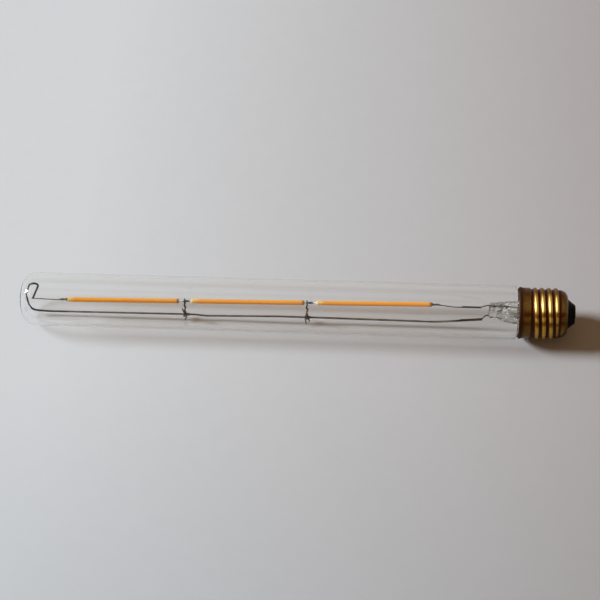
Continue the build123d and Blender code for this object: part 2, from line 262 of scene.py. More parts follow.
light_grazing = (0.62, 0.615, 0.61)
grazing_power = 3.0


def new_glass(name, ripple, ior, **flow):
    """Clear glass with faint flow lines; daylight goes through it, less so at a grazing angle."""
    material, tree, shader = new_finish(name)
    lines = use_effect(tree, glass_flow, flow)
    feed(
        tree,
        shader,
        {
            "Base Color": lines["Tint"],
            "Roughness": 0.0,
            "IOR": ior,
            "Transmission Weight": 1.0,
            "Normal": bumped(tree, lines["Height"], ripple, ripple_height),
        },
    )
    facing = add_node(tree, "ShaderNodeLayerWeight", {"Blend": 0.5}).outputs["Facing"]
    grazing = maths(tree, "POWER", facing, grazing_power)
    let_through = blended(tree, grazing, light_face_on, light_grazing)
    passing = add(tree, "ShaderNodeBsdfTransparent", {"Color": let_through})
    in_shadow = add_node(tree, "ShaderNodeLightPath", {}).outputs["Is Shadow Ray"]
    mixed = add(tree, "ShaderNodeMixShader", {0: in_shadow, 1: shader.outputs[0], 2: passing})
    feed(tree, tree.nodes["Material Output"], {"Surface": mixed})
    return material


stem_glass = new_glass(
    "stem_glass",
    ripple=1.0,
    ior=1.52,
    Along=260.0,
    Across=420.0,
    Clear=(0.98, 0.985, 0.98),
    Thick=(0.9, 0.92, 0.905),
)
noise.seed_set(dent_seed)
stem_rings = [
    dented(oval(along, high, wide, square, stem_sides, stem_lift(along)), along)
    for along, high, wide, square in softened(stem_skin, skin_steps)
]
hollow_rings = [
    oval(along, high, wide, square, stem_sides, stem_lift(along))
    for along, high, wide, square in softened(stem_hollow, hollow_steps)
]
press_end = [lamp_point(press_tip, 0, stem_lift(press_tip))]
hollow_end = [lamp_point(hollow_tip, 0, stem_lift(hollow_tip))]
stem = skinned(
    "glass_stem_blown", stem_glass, [press_end] + stem_rings[::-1] + hollow_rings[::-1] + [hollow_end]
)
stem.visible_diffuse = False
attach(stem, "root")
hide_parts("glass_stem")

# Exhaust tube
# Thin glass tube down the middle of the stem, through which the lamp was emptied and filled. It was
# melted shut and pulled off at its outer end, inside the cap.
exhaust_sides = 48
exhaust_skin = [
    (272.6, 0.0),
    (272.2, 0.75),
    (271.2, 1.25),
    (269.5, 1.4),
    (266.0, 1.4),
    (260.7, 1.4),
    (260.55, 1.8),
    (260.7, 2.2),
    (266.6, 2.2),
    (271.0, 2.2),
    (272.2, 1.95),
    (273.2, 1.35),
    (273.8, 0.7),
    (274.0, 0.0),
]


def turned(along, radius, sides, lift=0.0):
    """Ring of a turned piece, or its pole."""
    if radius == 0:
        return [lamp_point(along, 0, lift)]
    return oval(along, radius, radius, 2.0, sides, lift)


exhaust = skinned(
    "exhaust_tube_drawn",
    stem_glass,
    [turned(along, radius, exhaust_sides, stem_lift(along)) for along, radius in exhaust_skin],
)
exhaust.visible_diffuse = False
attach(exhaust, "root")
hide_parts("exhaust_tube")

# Lead wires and link
# Nickel wires that come out of the driver, pass through the press and carry the current: the upper one
# is welded to a link, tacked to the last filament, and the lower one to the return wire.
wire_sides = 20
wire_bend_steps = 10
wire_tree, wire_in, wire_end = new_tree(
    "drawn_wire",
    "GeometryNodeTree",
    {"Geometry": ["Route"], "Float": ["Diameter"], "Int": ["Sides", "Bend Steps"], "Material": ["Finish"]},
    {"Geometry": ["Wire"]},
)
bend_radius = add(wire_tree, "GeometryNodeInputRadius", {})
bent_route = add(
    wire_tree,
    "GeometryNodeFilletCurve",
    {"Curve": wire_in["Route"], "Radius": bend_radius, "Limit Radius": True, "Count": wire_in["Bend Steps"]},
    mode="POLY",
)
even_route = add(wire_tree, "GeometryNodeSetCurveRadius", {"Curve": bent_route, "Radius": 1.0})
wire_radius = maths(wire_tree, "MULTIPLY", wire_in["Diameter"], 0.5)
wire_section = add(
    wire_tree, "GeometryNodeCurvePrimitiveCircle", {"Resolution": wire_in["Sides"], "Radius": wire_radius}
)
drawn = add(
    wire_tree,
    "GeometryNodeCurveToMesh",
    {"Curve": even_route, "Profile Curve": wire_section, "Fill Caps": True},
)
rounded_wire = add(wire_tree, "GeometryNodeSetShadeSmooth", {"Geometry": drawn})


def close_tree(tree, geometry, finish, end):
    """Ends a tree that makes a piece: one real mesh, with its finish on it."""
    whole = add(tree, "GeometryNodeRealizeInstances", {"Geometry": geometry})
    finished = add(tree, "GeometryNodeSetMaterial", {"Geometry": whole, "Material": finish})
    feed(tree, end, {0: finished})


close_tree(wire_tree, rounded_wire, wire_in["Finish"], wire_end)


def made_by(tree, name, source, values):
    """Runs a tree on a curve or mesh and keeps the result as one plain mesh piece."""
    rough = show(bpy.data.objects.new(name + "_source", source))
    modifier = rough.modifiers.new("shape", "NODES")
    modifier.node_group = tree
    for item in tree.interface.items_tree:
        if item.in_out == "INPUT" and item.name in values:
            modifier[item.identifier] = values[item.name]
    depsgraph = bpy.context.evaluated_depsgraph_get()
    mesh = bpy.data.meshes.new_from_object(rough.evaluated_get(depsgraph))
    bpy.data.objects.remove(rough)
    mesh.name = name
    return show(bpy.data.objects.new(name, mesh))


def drawn_wire(name, diameter, finish, route):
    """Wire along straight runs; a point is mm along, across and above, then its bend's radius."""
    curve = bpy.data.curves.new(name, "CURVE")
    curve.dimensions = "3D"
    spline = curve.splines.new("POLY")
    spline.points.add(len(route) - 1)
    for point, (along, across, above, bend) in zip(spline.points, route):
        point.co = (*lamp_point(along, across, above), 1.0)
        point.radius = bend * mm
    wire = made_by(
        wire_tree,
        name,
        curve,
        {"Diameter": diameter * mm, "Sides": wire_sides, "Bend Steps": wire_bend_steps, "Finish": finish},
    )
    wire.data.set_sharp_from_angle(angle=radians(sharp_angle))
    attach(wire, "root")
    return wire


def grained(tree, scale, detail, roughness=0.5):
    """Noise that is fixed to the piece."""
    place = add_node(tree, "ShaderNodeTexCoord", {}).outputs["Object"]
    inputs = {"Vector": place, "Scale": scale, "Detail": detail, "Roughness": roughness}
    return add(tree, "ShaderNodeTexNoise", inputs)


def ramped(tree, value, start, end, low=0.0, high=1.0, kind="SMOOTHSTEP"):
    """Value that goes from low to high while another goes from start to end."""
    inputs = {"Value": value, "From Min": start, "From Max": end, "To Min": low, "To Max": high}
    return add(tree, "ShaderNodeMapRange", inputs, interpolation_type=kind)


def own_axes(tree):
    """The three coordinates of a point on the piece."""
    place = add_node(tree, "ShaderNodeTexCoord", {}).outputs["Object"]
    return add_node(tree, "ShaderNodeSeparateXYZ", {0: place}).outputs


dulled_metal, dull_in, dull_end = new_tree(
    "dulled_metal",
    "ShaderNodeTree",
    {"Color": ["Bright", "Dull"], "Float": ["Smooth", "Rough", "Patches", "Grain"]},
    {"Color": ["Color"], "Float": ["Roughness", "Height"]},
)
dull_patch = grained(dulled_metal, dull_in["Patches"], detail=5.0, roughness=0.62)
dull_mask = ramped(dulled_metal, dull_patch, 0.36, 0.64, kind="LINEAR")
dull_colour = blended(dulled_metal, dull_mask, dull_in["Bright"], dull_in["Dull"])
dull_rough = ramped(dulled_metal, dull_mask, 0.0, 1.0, dull_in["Smooth"], dull_in["Rough"], "LINEAR")
dull_grain = grained(dulled_metal, dull_in["Grain"], detail=2.0)
feed(dulled_metal, dull_end, {"Color": dull_colour, "Roughness": dull_rough, "Height": dull_grain})
grain_height = 0.05 * mm
scorch_colour = (0.012, 0.009, 0.009)
scorch_most = 0.96
scorch_edge = 1.5


def new_surface(name, effect, values, relief, height):
    """New material that takes its colour, roughness and relief from one effect."""
    material, tree, shader = new_finish(name)
    grain = use_effect(tree, effect, values)
    normal = bumped(tree, grain["Height"], relief, height)
    feed(tree, shader, {"Base Color": grain["Color"], "Roughness": grain["Roughness"], "Normal": normal})
    return material, tree, shader


def new_metal(name, relief, **values):
    """Metal that has dulled unevenly, with a fine drawn grain."""
    material, tree, shader = new_surface(name, dulled_metal, values, relief, grain_height)
    feed(tree, shader, {"Metallic": 1.0})
    return material


def scorched(material, *spans):
    """Darkens a metal where it was heated; each span is mm along the lamp, from and to."""
    tree = material.node_tree
    shader = tree.nodes["Principled BSDF"]
    along = own_axes(tree)["X"]
    for start, end in spans:
        middle = tip_x + (start + end) / 2 * mm
        reach = (end - start) / 2 * mm
        away = maths(tree, "ABSOLUTE", maths(tree, "SUBTRACT", along, middle))
        burnt = ramped(tree, away, reach + scorch_edge * mm, reach - scorch_edge * mm, high=scorch_most)
        bare = shader.inputs["Base Color"].links[0].from_socket
        feed(tree, shader, {"Base Color": blended(tree, burnt, bare, scorch_colour)})


lead_nickel = new_metal(
    "lead_nickel",
    relief=0.3,
    Bright=(0.24, 0.21, 0.18),
    Dull=(0.07, 0.058, 0.05),
    Smooth=0.3,
    Rough=0.5,
    Patches=260.0,
    Grain=2600.0,
)
scorched(lead_nickel, (21.0, 26.0), (219.0, 226.0), (235.0, 262.0))
lead_size = 0.6
link_size = 0.6
lead_end = 278.4
upper_lead = drawn_wire(
    "upper_lead_wire_drawn",
    lead_size,
    lead_nickel,
    [
        (lead_end, 0, 4.3, 0),
        (269.01, 0, 4.13, 3.0),
        (250.06, 0, 5.53, 1.2),
        (246.74, 0, 3.88, 1.6),
        (236.74, 0, 3.88, 0),
    ],
)
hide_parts("upper_lead_wire")
lower_lead = drawn_wire(
    "lower_lead_wire_drawn",
    lead_size,
    lead_nickel,
    [
        (lead_end, 0, -4.3, 0),
        (268.38, 0, -4.44, 3.0),
        (249.43, 0, -3.05, 1.2),
        (247.62, 0, -6.02, 1.2),
        (235.75, 0, -7.66, 0),
    ],
)
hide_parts("lower_lead_wire")
link = drawn_wire(
    "link_wire_drawn",
    link_size,
    lead_nickel,
    [(221.35, 0, 4.53, 0), (224.95, 0, 4.62, 4.0), (232.74, 0, 3.25, 6.0), (246.74, 0, 3.25, 0)],
)
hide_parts("link_wire")

# Return wire and tail
# A stiff nickel wire from the lower lead along the bottom of the tube, bent by hand up the dome into a
# crook. A short thin tail is welded to the crook's end and carries the first filament.
return_size = 1.05
tail_size = 0.5
frame_nickel = new_metal(
    "frame_nickel",
    relief=0.3,
    Bright=(0.2, 0.176, 0.155),
    Dull=(0.066, 0.057, 0.05),
    Smooth=0.3,
    Rough=0.55,
    Patches=180.0,
    Grain=2200.0,
)
scorched(frame_nickel, (-2.0, 24.0), (233.0, 249.0))
return_wire = drawn_wire(
    "return_wire_bent",
    return_size,
    frame_nickel,
    [
        (6.8, 0, 0.75, 0),
        (11.7, 1.2, 11.35, 1.5),
        (6.6, 1.2, 11.45, 3.2),
        (3.0, 0.3, 2.96, 5.4),
        (3.0, 0, -5.1, 5.4),
        (5.0, 0, -10.25, 3.6),
        (13.0, 0, -11.0, 20.0),
        (84.3, 0, -10.1, 30.0),
        (94.3, 0, -10.1, 12.0),
        (99.3, 0, -11.0, 30.0),
        (139.9, 0, -9.5, 60.0),
        (149.9, 0, -9.55, 60.0),
        (159.9, 0, -9.55, 60.0),
        (223.2, 0, -10.25, 40.0),
        (247.74, 0, -6.85, 0),
    ],
)
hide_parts("return_wire")
tail = drawn_wire(
    "tail_wire_drawn",
    tail_size,
    lead_nickel,
    [(6.3, -0.78, 1.25, 0), (8.2, -0.78, 1.15, 6.0), (19.6, -0.1, -0.2, 6.0), (25.2, 0, -0.19, 0)],
)
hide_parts("tail_wire")

# Filaments
# Three thin metal strips set with light-giving chips, each dipped in soft orange silicone that leaves
# its ends bare. The strips are welded end to end and climb a little towards the press.
coat_count = 3
coat_low, coat_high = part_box("filament_coat_1")
last_low, last_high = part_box("filament_coat_3")
chain_run = (last_low + last_high - coat_low - coat_high) / 2
chain_angle = atan2(chain_run.z, chain_run.x)
coat_pitch = chain_run.length / (coat_count - 1)
coat_length = (coat_high.x - coat_low.x) / cos(chain_angle)
coat_size = 2.45 * mm
coat_tip = 1.5 * mm
coat_unevenness = 0.08
coat_swells = 180.0
coat_least = 0.02
coat_steps = 160
coat_sides = 28
coat_tree, coat_in, coat_end = new_tree(
    "filament_coats",
    "GeometryNodeTree",
    {
        "Geometry": ["Base"],
        "Int": ["Count"],
        "Float": ["Pitch", "Length", "Diameter", "Tip", "Unevenness"],
        "Vector": ["Start", "Turn"],
        "Material": ["Finish"],
    },
    {"Geometry": ["Coats"]},
)
coat_far = add(coat_tree, "ShaderNodeCombineXYZ", {"X": coat_in["Length"]})
coat_line = add(coat_tree, "GeometryNodeCurvePrimitiveLine", {"End": coat_far})
coat_points = add(coat_tree, "GeometryNodeResampleCurve", {"Curve": coat_line, "Count": coat_steps})
coat_along = add_node(coat_tree, "GeometryNodeSplineParameter", {}).outputs["Length"]


def marked(tree, geometry, name, value):
    """Keeps a value on the points of a shape, for its finish to read."""
    inputs = {"Geometry": geometry, "Name": name, "Value": value}
    kind = "GeometryNodeStoreNamedAttribute"
    return add(tree, kind, inputs, data_type="FLOAT", domain="POINT")


coat_marked = marked(coat_tree, coat_points, "along", coat_along)
coat_left = maths(coat_tree, "SUBTRACT", coat_in["Length"], coat_along)
coat_edge = maths(coat_tree, "MINIMUM", coat_along, coat_left)
coat_inset = maths(coat_tree, "SUBTRACT", 1.0, maths(coat_tree, "DIVIDE", coat_edge, coat_in["Tip"]))
coat_curl = maths(coat_tree, "MAXIMUM", coat_inset, 0.0)
coat_drop = maths(coat_tree, "MULTIPLY", coat_curl, coat_curl)
coat_round = maths(coat_tree, "SQRT", maths(coat_tree, "SUBTRACT", 1.0, coat_drop))
coat_swell = add(
    coat_tree,
    "ShaderNodeTexNoise",
    {"W": maths(coat_tree, "MULTIPLY", coat_along, coat_swells), "Scale": 1.0, "Detail": 2.0},
    noise_dimensions="1D",
)
coat_waste = maths(coat_tree, "MULTIPLY", coat_swell, coat_in["Unevenness"])
coat_uneven = maths(coat_tree, "SUBTRACT", 1.0, coat_waste)
coat_share = maths(coat_tree, "MULTIPLY", coat_round, coat_uneven)
coat_shaped = add(
    coat_tree,
    "GeometryNodeSetCurveRadius",
    {"Curve": coat_marked, "Radius": maths(coat_tree, "MAXIMUM", coat_share, coat_least)},
)
coat_section = add(
    coat_tree,
    "GeometryNodeCurvePrimitiveCircle",
    {"Resolution": coat_sides, "Radius": maths(coat_tree, "MULTIPLY", coat_in["Diameter"], 0.5)},
)
coat_rod = add(
    coat_tree,
    "GeometryNodeCurveToMesh",
    {"Curve": coat_shaped, "Profile Curve": coat_section, "Fill Caps": True},
)
coat_smooth = add(coat_tree, "GeometryNodeSetShadeSmooth", {"Geometry": coat_rod})
coat_step = add(coat_tree, "ShaderNodeCombineXYZ", {"X": coat_in["Pitch"]})
coat_seats = add(coat_tree, "GeometryNodeMeshLine", {"Count": coat_in["Count"], "Offset": coat_step})
coat_row = add(coat_tree, "GeometryNodeInstanceOnPoints", {"Points": coat_seats, "Instance": coat_smooth})
coat_placed = add(
    coat_tree,
    "GeometryNodeTransform",
    {"Geometry": coat_row, "Translation": coat_in["Start"], "Rotation": coat_in["Turn"]},
)
close_tree(coat_tree, coat_placed, coat_in["Finish"], coat_end)

orange_deep = (0.9, 0.37, 0.02)
orange_light = (0.9, 0.46, 0.045)
tip_pale = (0.88, 0.62, 0.24)
end_brown = (0.3, 0.13, 0.04)
orange_silicone, tree, shader = new_finish("orange_silicone")
along_coat = add_node(tree, "ShaderNodeAttribute", {}, attribute_name="along").outputs["Fac"]
at_tip = ramped(tree, along_coat, start=0.6 * mm, end=4.6 * mm, low=1.0, high=0.0)
at_end = ramped(tree, along_coat, start=coat_length - 1.6 * mm, end=coat_length - 0.3 * mm)
coat_mottle = grained(tree, scale=420.0, detail=3.0, roughness=0.55)
mixed_orange = blended(tree, coat_mottle, orange_deep, orange_light)
tipped = blended(tree, at_tip, mixed_orange, tip_pale)
feed(
    tree,
    shader,
    {
        "Base Color": blended(tree, at_end, tipped, end_brown),
        "Roughness": ramped(tree, coat_mottle, 0.0, 1.0, low=0.38, high=0.55, kind="LINEAR"),
        "Normal": bumped(tree, coat_mottle, strength=0.25, distance=0.1 * mm),
        "Specular IOR Level": 0.25,
        "Subsurface Weight": 0.9,
        "Subsurface Radius": (1.0, 0.5, 0.2),
        "Subsurface Scale": 1.6 * mm,
    },
)

coat_start = Vector((coat_low.x, 0.0, 0.0))
coat_middle = (coat_low + coat_high) / 2
coat_start.z = coat_middle.z - (coat_middle.x - coat_low.x) * tan(chain_angle)
coats = made_by(
    coat_tree,
    "filament_coats_dipped",
    bpy.data.meshes.new("filament_coats_base"),
    {
        "Count": coat_count,
        "Pitch": coat_pitch,
        "Length": coat_length,
        "Diameter": coat_size,
        "Tip": coat_tip,
        "Unevenness": coat_unevenness,
        "Start": coat_start,
        "Turn": (0.0, -chain_angle, 0.0),
        "Finish": orange_silicone,
    },
)
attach(coats, "root")
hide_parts("filament_coat_1", "filament_coat_2", "filament_coat_3")

strip_metal = new_metal(
    "strip_metal",
    relief=0.25,
    Bright=(0.9, 0.9, 0.92),
    Dull=(0.68, 0.68, 0.7),
    Smooth=0.45,
    Rough=0.7,
    Patches=500.0,
    Grain=3000.0,
)
scorched(strip_metal, (19.0, 26.6), (88.2, 92.2), (155.0, 158.6), (217.5, 226.0))


def refinish(node, finish):
    """Gives a piece that keeps its CAD shape its finish."""
    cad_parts[node].data.materials.clear()
    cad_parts[node].data.materials.append(finish)


for number in range(1, coat_count + 1):
    refinish(f"filament_strip_{number}", strip_metal)

# Insulating sleeves
# Short beads of grey insulating tube, slid on the return wire under each filament joint, so that the
# tie wires can hold the joint without touching the wire.
bead_grain, bead_in, bead_end = new_tree(
    "bead_grain",
    "ShaderNodeTree",
    {"Color": ["Light", "Dark"], "Float": ["Scale", "Smooth", "Rough"]},
    {"Color": ["Color"], "Float": ["Roughness", "Height"]},
)
bead_noise = grained(bead_grain, bead_in["Scale"], detail=6.0, roughness=0.65)
bead_colour = blended(bead_grain, bead_noise, bead_in["Dark"], bead_in["Light"])
bead_rough = ramped(bead_grain, bead_noise, 0.0, 1.0, bead_in["Smooth"], bead_in["Rough"], "LINEAR")
feed(bead_grain, bead_end, {"Color": bead_colour, "Roughness": bead_rough, "Height": bead_noise})
bead_height = 0.1 * mm


def new_moulding(name, relief, **values):
    """Moulded, cast or lacquered piece with a fine uneven grain."""
    return new_surface(name, bead_grain, values, relief, bead_height)[0]


sleeve_grey = new_moulding(
    "sleeve_grey",
    relief=0.4,
    Light=(0.16, 0.14, 0.12),
    Dark=(0.06, 0.05, 0.045),
    Scale=1500.0,
    Smooth=0.45,
    Rough=0.75,
)
sleeve_sides = 32
sleeve_sharp = 35
sleeve_outline = [(-1.0, 0.55), (-1.0, 0.7), (-0.9, 0.8), (0.9, 0.8), (1.0, 0.7), (1.0, 0.55)]
for number in (1, 2):
    low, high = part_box(f"insulating_sleeve_{number}")
    middle = (low + high) / 2
    half = (high.x - low.x) / 2
    rings = []
    for share, radius in sleeve_outline:
        ring = []
        for k in range(sleeve_sides):
            turn = tau * k / sleeve_sides
            ring.append(middle + Vector((share * half, radius * mm * cos(turn), radius * mm * sin(turn))))
        rings.append(ring)
    name = f"insulating_sleeve_{number}_cut"
    sleeve = skinned(name, sleeve_grey, rings, looped=True, sharp=sleeve_sharp)
    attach(sleeve, "root")
    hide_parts(f"insulating_sleeve_{number}")

# Tie wires
# Thin soft iron wires, each hooked over a filament joint and twisted on itself down to the return wire.
# Their two ends are wound round the sleeve there, and the cut tips are left sticking out.
tie_size = 0.72
tie_turns = 2.5
tie_steps = 40
tie_twist = 0.36
tie_wrap = 1.2
tie_hook = 0.46
tie_flare = 6
tie_foot = 0.3
tie_head = 1.2
hook_drop = 0.4
hook_bend = 0.35
top_bend = 0.8
wrap_steps = 14
wrap_gap = 0.1
wrap_width = 0.85
back_turns = 0.5
tie_iron = new_metal(
    "tie_iron",
    relief=0.3,
    Bright=(0.1, 0.085, 0.078),
    Dull=(0.022, 0.018, 0.016),
    Smooth=0.35,
    Rough=0.6,
    Patches=500.0,
    Grain=2500.0,
)
# Each tie is mm along, its hook's and the return wire's height, the lean of its foot, the turns of its
# front end round the sleeve, and its two cut tips from there.
tie_spots = (
    (89.3, 2.78, -10.1, -0.8, 1.5, (-1.6, 1.7, 2.8), (-0.1, -2.6, -1.8)),
    (154.95, 4.36, -9.55, -0.5, 1.0, (-0.5, -2.7, -2.3), (1.4, -2.3, -0.9)),
)


def tie_route(middle, top, seat, lean, front_turns, front_tip, back_tip):
    """One wire: a cut tip, round the sleeve, twisted up, over the joint, back down and round again."""
    foot = middle + lean

    def strand(side, k):
        share = k / tie_steps
        turn = -pi / 2 * side + tau * tie_turns * share
        spread = max(0.0, 1 - share * tie_flare) + max(0.0, 1 - (1 - share) * tie_flare)
        reach = tie_twist + (tie_wrap - tie_twist if share < 0.5 else tie_hook) * spread ** 2
        height = seat + tie_foot + (top - tie_head - seat - tie_foot) * share
        sway = tie_twist * cos(turn) * (1 - spread)
        return (foot - lean * share + side * sway, side * reach * sin(turn * side), height, 0)

    def wrap(side, turns):
        points = []
        for k in range(1, round(wrap_steps * turns) + 1):
            turn = tau * k / wrap_steps
            along = foot - side * (wrap_gap + wrap_width * k / wrap_steps / turns)
            points.append((along, -side * tie_wrap * cos(turn), seat - tie_wrap * sin(turn), 0))
        return points

    up = [strand(1, k) for k in range(tie_steps + 1)]
    down = [strand(-1, k) for k in range(tie_steps + 1)][::-1]
    front_end = [(foot + front_tip[0], front_tip[1], seat + front_tip[2], 0)] + wrap(1, front_turns)[::-1]
    back_end = wrap(-1, back_turns) + [(foot + back_tip[0], back_tip[1], seat + back_tip[2], 0)]
    over = [
        (up[-1][0], up[-1][1], top - hook_drop, hook_bend),
        (middle, 0.0, top, top_bend),
        (down[0][0], down[0][1], top - hook_drop, hook_bend),
    ]
    return front_end + up + over + down + back_end


for number, spot in enumerate(tie_spots, start=1):
    tie = drawn_wire(f"tie_wire_{number}_twisted", tie_size, tie_iron, tie_route(*spot))
    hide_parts(f"tie_wire_{number}")

# Glass envelope
# A drawn tube of clear glass, closed at one end by a shallow dome blown on it and drawn in to a neck at
# the other, where the stem is sealed. It lies on its side, and everything above hangs inside it.
tube_radius = (glass_high.z - glass_low.z) / 2 / mm
glass_wall = 0.9
crown_radius = 25.0
knuckle_radius = 7.5
neck_radius = 12.2
shoulder_run = 3.5
shoulder_in = 0.7
rim_along = (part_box("cap_shell")[0].x - tip_x) / mm
neck_along = (glass_high.x - tip_x) / mm
envelope_sides = 144
dome_steps = 16
shoulder_steps = 12
tube_steps = 24


def envelope_line(inset):
    """Wall of the tube from the dome's pole to the neck's end, set in from the outside."""
    tube = tube_radius - inset
    crown = crown_radius - inset
    knuckle = knuckle_radius - inset
    turn = asin((tube - knuckle) / (crown - knuckle))
    depth = crown - (crown - knuckle) * cos(turn)
    line = [(inset, 0.0)]
    for k in range(1, dome_steps):
        angle = turn * k / dome_steps
        line.append((inset + crown * (1 - cos(angle)), crown * sin(angle)))
    for k in range(dome_steps + 1):
        angle = turn + (pi / 2 - turn) * k / dome_steps
        line.append((inset + depth - knuckle * cos(angle), tube - knuckle + knuckle * sin(angle)))
    dome_end = line[-1][0]
    shoulder_start = rim_along + shoulder_in - shoulder_run
    for k in range(1, tube_steps):
        line.append((dome_end + (shoulder_start - dome_end) * k / tube_steps, tube))
    for k in range(shoulder_steps + 1):
        share = k / shoulder_steps
        drop = (tube_radius - neck_radius) * (1 - cos(pi * share)) / 2
        line.append((shoulder_start + shoulder_run * share, tube - drop))
    line.append((neck_along, neck_radius - inset))
    return line


clear_glass = new_glass(
    "clear_glass",
    ripple=0.012,
    ior=1.5,
    Along=1.5,
    Across=240.0,
    Clear=(0.998, 0.999, 0.998),
    Thick=(0.982, 0.986, 0.985),
)
wall_line = envelope_line(0.0) + envelope_line(glass_wall)[::-1]
envelope = skinned(
    "glass_envelope_blown",
    clear_glass,
    [turned(along, radius, envelope_sides) for along, radius in wall_line],
)
envelope.visible_diffuse = False
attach(envelope, "root")
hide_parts("glass_envelope")

# Cement
# Sandy resin cement, packed between the neck and the cap's collar and baked hard. It is inside the cap,
# and its ring keeps the shape of the space it filled.
baked_cement = new_moulding(
    "baked_cement",
    relief=0.9,
    Light=(0.5, 0.43, 0.32),
    Dark=(0.27, 0.22, 0.15),
    Scale=1800.0,
    Smooth=0.7,
    Rough=0.95,
)
refinish("cap_cement", baked_cement)

# Driver
# A small lacquered board with a rectifier, a chip and a capacitor soldered on, which feeds the filaments.
# It sits inside the cap, with a wire to the shell and a fusible resistor whose lead goes to the contact.
board_lacquer = new_moulding(
    "board_lacquer",
    relief=0.2,
    Light=(0.06, 0.16, 0.06),
    Dark=(0.025, 0.08, 0.03),
    Scale=900.0,
    Smooth=0.3,
    Rough=0.5,
)
chip_black = new_moulding(
    "chip_black",
    relief=0.4,
    Light=(0.035, 0.035, 0.037),
    Dark=(0.012, 0.012, 0.013),
    Scale=2400.0,
    Smooth=0.45,
    Rough=0.7,
)
can_sleeve = new_moulding(
    "can_sleeve",
    relief=0.15,
    Light=(0.07, 0.07, 0.11),
    Dark=(0.03, 0.03, 0.055),
    Scale=700.0,
    Smooth=0.25,
    Rough=0.45,
)
fuse_lacquer = new_moulding(
    "fuse_lacquer",
    relief=0.3,
    Light=(0.32, 0.27, 0.18),
    Dark=(0.2, 0.16, 0.1),
    Scale=1200.0,
    Smooth=0.4,
    Rough=0.6,
)
refinish("driver_board", board_lacquer)
refinish("bridge_rectifier", chip_black)
refinish("driver_chip", chip_black)
refinish("capacitor", can_sleeve)
refinish("fuse_resistor", fuse_lacquer)
refinish("shell_wire", lead_nickel)

# Cap shell
# Thin brass sheet drawn into a cup, flared at the rim, rolled with a round right-hand thread and turned
# over at the far end to a lip. It is brown in the grooves and by the rim. Its crests carry a painted
# highlight and painted dark reflections in bands round the cap, and the rest a faint trace of them.
shell_low, shell_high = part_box("cap_shell")
shell_length = (shell_high.x - shell_low.x) / mm
crest_radius = 13.2
groove_depth = 1.1
root_radius = crest_radius - groove_depth
thread_pitch = 3.629
first_crest = 8.75
crest_side = radians(128)
thread_start = 5.6
thread_run_in = 2.4
thread_end = 21.2
thread_run_out = 2.2
sheet = 0.35
mouth_radius = 7.7
shoulder_radius = 3.6
shoulder_arc = 12
collar_radius = 13.0
shell_profile = [(0.0, 12.95), (0.03, 13.18), (0.2, 13.29), (0.6, 13.3), (0.95, 13.22)]
shell_profile += [(1.2, 13.04), (1.45, 12.93), (1.75, 12.93), (2.1, 12.99), (2.6, 13.0)]
shell_profile += [(k * 0.4, collar_radius) for k in range(7, 13)]
shell_profile += [(5.1, 12.97), (5.45, 12.82), (5.8, 12.5), (6.15, 12.22), (6.5, root_radius)]
shell_profile += [(6.5 + k * 0.2, root_radius) for k in range(1, 74)]
for k in range(shoulder_arc + 1):
    angle = pi / 2 * k / shoulder_arc
    along = shell_length - shoulder_radius + shoulder_radius * sin(angle)
    shell_profile.append((along, root_radius - shoulder_radius + shoulder_radius * cos(angle)))
shell_profile += [(shell_length, 8.1), (shell_length - 0.02, mouth_radius)]
shell_rings = 170
shell_around = 168
seam_gap = 0.001 * mm

shell_tree, shell_in, shell_end = new_tree(
    "rolled_cap",
    "GeometryNodeTree",
    {
        "Geometry": ["Profile"],
        "Int": ["Rings", "Around"],
        "Float": [
            "Axis Height",
            "Pitch",
            "Depth",
            "First Crest",
            "Crest Side",
            "Thread Start",
            "Run In",
            "Thread End",
            "Run Out",
        ],
        "Material": ["Finish"],
    },
    {"Geometry": ["Shell"]},
)
shell_grid = add(
    shell_tree,
    "GeometryNodeMeshGrid",
    {"Size X": 1.0, "Size Y": 1.0, "Vertices X": shell_in["Rings"], "Vertices Y": shell_in["Around"]},
)
grid_place = add(shell_tree, "GeometryNodeInputPosition", {})
grid_axes = add_node(shell_tree, "ShaderNodeSeparateXYZ", {0: grid_place}).outputs
grid_share = maths(shell_tree, "ADD", grid_axes["X"], 0.5)
grid_turn = maths(shell_tree, "MULTIPLY", maths(shell_tree, "ADD", grid_axes["Y"], 0.5), tau)
profile_point = add_node(
    shell_tree,
    "GeometryNodeSampleCurve",
    {"Curves": shell_in["Profile"], "Factor": grid_share},
    mode="FACTOR",
    use_all_curves=True,
).outputs["Position"]
profile_axes = add_node(shell_tree, "ShaderNodeSeparateXYZ", {0: profile_point}).outputs
profile_along = profile_axes["X"]
from_crest = maths(shell_tree, "SUBTRACT", profile_along, shell_in["First Crest"])
from_side = maths(shell_tree, "SUBTRACT", grid_turn, shell_in["Crest Side"])
thread_turns = maths(
    shell_tree,
    "SUBTRACT",
    maths(shell_tree, "DIVIDE", from_crest, shell_in["Pitch"]),
    maths(shell_tree, "DIVIDE", from_side, tau),
)
thread_wave = maths(shell_tree, "COSINE", maths(shell_tree, "MULTIPLY", thread_turns, tau))
thread_rise = maths(shell_tree, "MULTIPLY_ADD", thread_wave, 0.5, 0.5)
full_from = maths(shell_tree, "ADD", shell_in["Thread Start"], shell_in["Run In"])
full_to = maths(shell_tree, "SUBTRACT", shell_in["Thread End"], shell_in["Run Out"])
run_in = ramped(shell_tree, profile_along, shell_in["Thread Start"], full_from)
run_out = ramped(shell_tree, profile_along, shell_in["Thread End"], full_to)
thread_crest = maths(shell_tree, "MULTIPLY", thread_rise, maths(shell_tree, "MULTIPLY", run_in, run_out))
thread_height = maths(shell_tree, "MULTIPLY", thread_crest, shell_in["Depth"])
shell_reach = maths(shell_tree, "ADD", profile_axes["Z"], thread_height)
shell_across = maths(shell_tree, "MULTIPLY", shell_reach, maths(shell_tree, "COSINE", grid_turn))
shell_above = maths(shell_tree, "MULTIPLY", shell_reach, maths(shell_tree, "SINE", grid_turn))
